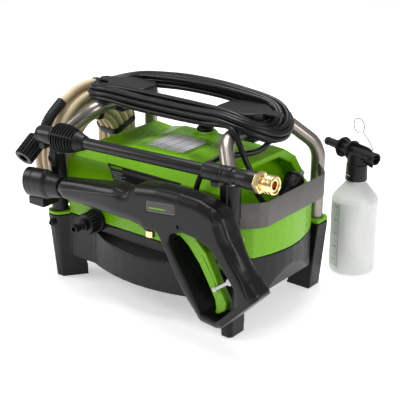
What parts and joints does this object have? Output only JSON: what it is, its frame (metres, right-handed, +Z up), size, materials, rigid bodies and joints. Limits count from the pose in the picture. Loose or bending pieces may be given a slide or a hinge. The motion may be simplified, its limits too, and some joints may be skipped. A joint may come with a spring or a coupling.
{
  "type": "pressure washer",
  "caption": "Portable electric pressure washer in a tubular frame, with wound mains cord, hose coil, trigger gun, lance and a separate foam bottle.",
  "frame": {"origin": "on the floor, under the middle of the box round the machine, gun, lance and bottle", "axes": "+X to the right along the front, +Y to the back, +Z up; the gun and the lance are carried on the front (-Y) side"},
  "size_m": [0.4984, 0.415, 0.3298],
  "materials": {
    "black": "satin",
    "black_soft": "matte",
    "green": "semi-gloss",
    "steel": "satin",
    "band": "satin",
    "brass": "polished",
    "zinc": "satin",
    "hose": "matte",
    "white": "translucent satin",
    "label": "satin",
    "latch": "satin",
    "alloy": "cast satin"
  },
  "bodies": {
    "washer": {"base_tub": "black", "top_cover": "green", "left_frame_tube": "steel", "right_frame_tube": "steel", "front_left_sleeve": "black", "front_right_sleeve": "black", "front_left_sleeve_screw": "black_soft", "front_left_leg_bolt": "black_soft", "front_right_sleeve_screw": "black_soft", "front_right_leg_bolt": "black_soft", "left_hook_plate": "black", "right_hook_plate": "black", "handle_bar": "black", "side_band": "band", "top_label": "label", "front_label": "black_soft", "motor": "zinc", "motor_cradle": "black", "pump": "alloy", "pressure_switch": "black_soft", "power_switch": "black_soft", "inlet_fitting": "black_soft", "inlet_nipple": "black_soft", "inlet_pipe": "black_soft", "outlet_pipe": "black_soft", "power_cord_winding": "black_soft", "power_cord_lead": "black_soft", "power_cord_tail": "black_soft", "cord_strain_relief": "black_soft", "power_plug": "black_soft", "plug_blade_left": "zinc", "plug_blade_right": "zinc", "hose_outlet": "black_soft", "hose_lead": "hose", "hose_coil": "hose", "hose_tail": "hose", "hose_sleeve": "black_soft", "hose_tie_top": "black_soft", "hose_tie_rear": "black_soft"},
    "rotor": {"drive_shaft": "zinc", "motor_fan": "black_soft"},
    "switch_knob": {"power_knob": "black_soft"},
    "inlet_union": {"inlet_nut": "black_soft"},
    "hose_union": {"hose_nut": "black_soft"},
    "gun": {"gun_shell_front": "black", "gun_shell_rear": "black", "trigger_pin": "zinc", "gun_inlet": "brass"},
    "gun_trigger": {"trigger": "green"},
    "gun_latch": {"trigger_latch": "latch"},
    "lance": {"lance_tube": "black", "lance_guard": "black_soft", "lance_grip": "black", "lance_socket": "brass"},
    "spray_nozzle": {"lance_nozzle": "black"},
    "quick_collar": {"lance_coupler": "brass"},
    "bottle": {"foam_bottle": "white", "foam_head": "black_soft"},
    "cap": {"bottle_cap": "black_soft"},
    "pin": {"cleaning_pin": "zinc"}
  },
  "joints": [
    {"name": "rotor_spin", "type": "hinge", "parent": "washer", "child": "rotor", "pos_m": [-0.02854, -0.0295, 0.108], "axis": [1, 0, 0], "continuous": true},
    {"name": "power_knob_turn", "type": "hinge", "parent": "washer", "child": "switch_knob", "pos_m": [-0.02054, 0.0085, 0.25], "axis": [0, 0, 1], "range_deg": [0, 90]},
    {"name": "inlet_nut_turn", "type": "hinge", "parent": "washer", "child": "inlet_union", "pos_m": [-0.11954, -0.1595, 0.117], "axis": [0, 1, 0], "continuous": true},
    {"name": "hose_nut_turn", "type": "hinge", "parent": "washer", "child": "hose_union", "pos_m": [-0.23354, -0.1675, 0.219], "axis": [0, -0.8202, -0.5721], "continuous": true},
    {"name": "gun_lift_out", "type": "slide", "parent": "washer", "child": "gun", "axis": [0, -0.9848, 0.1736], "range_m": [0, 0.15]},
    {"name": "trigger_pull", "type": "hinge", "parent": "gun", "child": "gun_trigger", "pos_m": [0.09746, -0.1835, 0.181], "axis": [0, -1, 0], "range_deg": [0, 4.5], "stiffness_Nm_per_rad": 1, "springref_deg": -17.19},
    {"name": "trigger_latch_turn", "type": "hinge", "parent": "gun", "child": "gun_latch", "pos_m": [0.18046, -0.1935, 0.117], "axis": [0, 1, 0], "range_deg": [0, 40]},
    {"name": "lance_lift_out", "type": "slide", "parent": "washer", "child": "lance", "axis": [0, -0.9848, 0.1736], "range_m": [0, 0.15]},
    {"name": "nozzle_turn", "type": "hinge", "parent": "lance", "child": "spray_nozzle", "pos_m": [-0.18845, -0.1795, 0.25376], "axis": [0.9994, 0, 0.034], "range_deg": [0, 90]},
    {"name": "coupler_collar_pull", "type": "slide", "parent": "lance", "child": "quick_collar", "axis": [-0.9994, 0, -0.034], "range_m": [0, 0.004], "stiffness_N_per_m": 800, "springref_m": -0.002},
    {"name": "bottle_lift", "type": "slide", "parent": "washer", "child": "bottle", "axis": [0, 0, 1], "range_m": [0, 0.25]},
    {"name": "bottle_cap_turn", "type": "hinge", "parent": "bottle", "child": "cap", "pos_m": [0.16446, 0.1695, 0.17], "axis": [0, 0, 1], "continuous": true},
    {"name": "cleaning_pin_pull", "type": "slide", "parent": "bottle", "child": "pin", "axis": [0, 0, 1], "range_m": [0, 0.02]}
  ]
}
